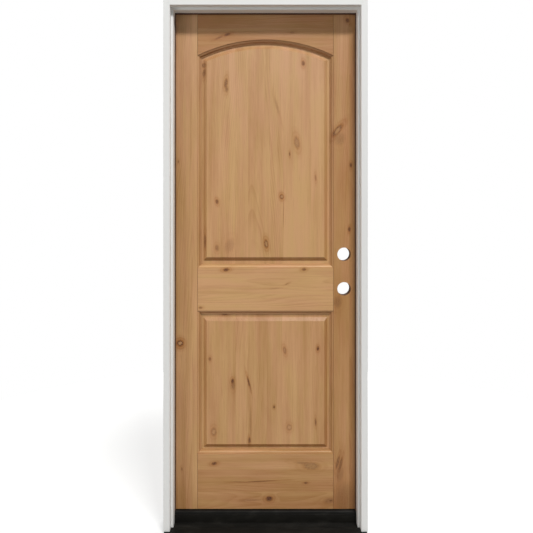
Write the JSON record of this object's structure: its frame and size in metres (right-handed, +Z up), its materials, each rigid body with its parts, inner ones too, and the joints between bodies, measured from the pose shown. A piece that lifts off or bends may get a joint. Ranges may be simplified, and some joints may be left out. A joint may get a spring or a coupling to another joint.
{
  "type": "arched panel entry door with frame",
  "caption": "Knotty wood entry door with an arched raised panel over a square one, hinged in a white rebated frame on a dark sill, bored for a lockset and a deadbolt.",
  "frame": {"origin": "middle of the sill's underside, half way through the jambs' depth", "axes": "+X towards the lock side seen from outside, +Y into the house, +Z up"},
  "size_m": [0.8002, 0.1401, 2.0944],
  "materials": {
    "alder": "unfinished knotty alder, sanded",
    "dowel_beech": "plain fluted beech",
    "primed_wood": "white primer, satin",
    "brown_foam": "skinned foam, matt",
    "black_vinyl": "soft vinyl",
    "dark_aluminium": "dark bronze anodised",
    "composite": "moulded, plain",
    "cap_black": "satin black",
    "hinge_bronze": "dark bronze plate",
    "zinc_steel": "zinc plated"
  },
  "bodies": {
    "frame": {"hinge_jamb": "primed_wood", "strike_jamb": "primed_wood", "head_jamb": "primed_wood", "head_joint_screws": "zinc_steel", "hinge_weatherstrip": "brown_foam", "strike_weatherstrip": "brown_foam", "head_weatherstrip": "brown_foam", "sill_substrate": "composite", "sill_deck": "dark_aluminium", "sill_joint_screws": "zinc_steel", "corner_pads": "brown_foam", "frame_leaf_screws": "hinge_bronze", "upper_hinge_frame_leaf": "hinge_bronze", "middle_hinge_frame_leaf": "hinge_bronze", "lower_hinge_frame_leaf": "hinge_bronze", "upper_hinge_pin": "hinge_bronze", "middle_hinge_pin": "hinge_bronze", "lower_hinge_pin": "hinge_bronze"},
    "door": {"hinge_stile": "alder", "lock_stile": "alder", "top_rail": "alder", "lock_rail": "alder", "bottom_rail": "alder", "upper_panel": "alder", "lower_panel": "alder", "top_rail_dowels": "dowel_beech", "lock_rail_dowels": "dowel_beech", "bottom_rail_dowels": "dowel_beech", "door_sweep": "black_vinyl", "door_leaf_screws": "hinge_bronze", "upper_hinge_door_leaf": "hinge_bronze", "middle_hinge_door_leaf": "hinge_bronze", "lower_hinge_door_leaf": "hinge_bronze"},
    "cap": {"threshold_cap": "cap_black"},
    "adjuster_1": {"cap_adjuster_1": "zinc_steel"},
    "adjuster_2": {"cap_adjuster_2": "zinc_steel"},
    "adjuster_3": {"cap_adjuster_3": "zinc_steel"},
    "adjuster_4": {"cap_adjuster_4": "zinc_steel"}
  },
  "joints": [
    {"name": "door_swing", "type": "hinge", "parent": "frame", "child": "door", "pos_m": [-0.37941, 0.06394, 1], "axis": [0, 0, 1], "range_deg": [0, 170]},
    {"name": "cap_height", "type": "slide", "parent": "frame", "child": "cap", "axis": [0, 0, 1], "range_m": [-0.004, 0]},
    {"name": "adjuster_1_turn", "type": "hinge", "parent": "cap", "child": "adjuster_1", "pos_m": [-0.3, 0.02406, 0.056], "axis": [0, 0, 1], "range_deg": [-720, 0]},
    {"name": "adjuster_2_turn", "type": "hinge", "parent": "cap", "child": "adjuster_2", "pos_m": [-0.1, 0.02406, 0.056], "axis": [0, 0, 1], "range_deg": [-720, 0]},
    {"name": "adjuster_3_turn", "type": "hinge", "parent": "cap", "child": "adjuster_3", "pos_m": [0.1, 0.02406, 0.056], "axis": [0, 0, 1], "range_deg": [-720, 0]},
    {"name": "adjuster_4_turn", "type": "hinge", "parent": "cap", "child": "adjuster_4", "pos_m": [0.3, 0.02406, 0.056], "axis": [0, 0, 1], "range_deg": [-720, 0]}
  ],
  "couplings": [
    {"joint": "adjuster_1_turn", "follows": "cap_height", "rad_per_m": 3141.6},
    {"joint": "adjuster_2_turn", "follows": "cap_height", "rad_per_m": 3141.6},
    {"joint": "adjuster_3_turn", "follows": "cap_height", "rad_per_m": 3141.6},
    {"joint": "adjuster_4_turn", "follows": "cap_height", "rad_per_m": 3141.6}
  ]
}
